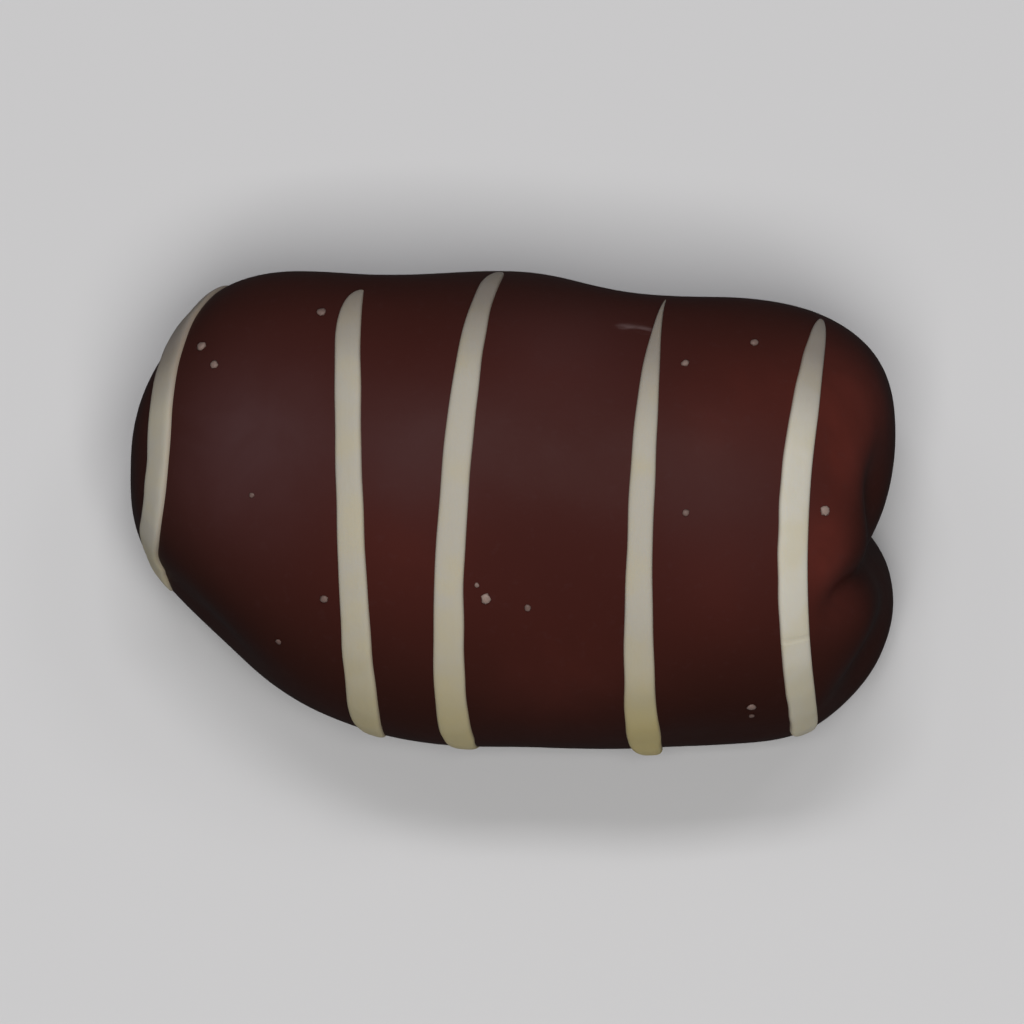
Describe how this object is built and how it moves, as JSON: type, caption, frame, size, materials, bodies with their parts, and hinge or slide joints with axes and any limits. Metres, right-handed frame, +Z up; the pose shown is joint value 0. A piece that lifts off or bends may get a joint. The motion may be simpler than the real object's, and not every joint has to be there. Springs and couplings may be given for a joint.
{
  "type": "chocolate covered date",
  "caption": "Plump oval date in a smooth dark chocolate coat, folded in at its blunt stem end and crossed by thin drizzled lines of white chocolate; lies on a flat base.",
  "frame": {"origin": "on the flat base, at the middle of the whole outline seen from above", "axes": "+X along the date towards its folded stem end, +Y towards the back as pictured, +Z up"},
  "size_m": [0.044, 0.0276, 0.0234],
  "materials": {
    "dark_chocolate": "satin, smooth, faintly clouded dark chocolate",
    "white_chocolate": "satin, cream coloured set white chocolate"
  },
  "bodies": {
    "root": {"chocolate_date": "dark_chocolate"}
  },
  "joints": []
}
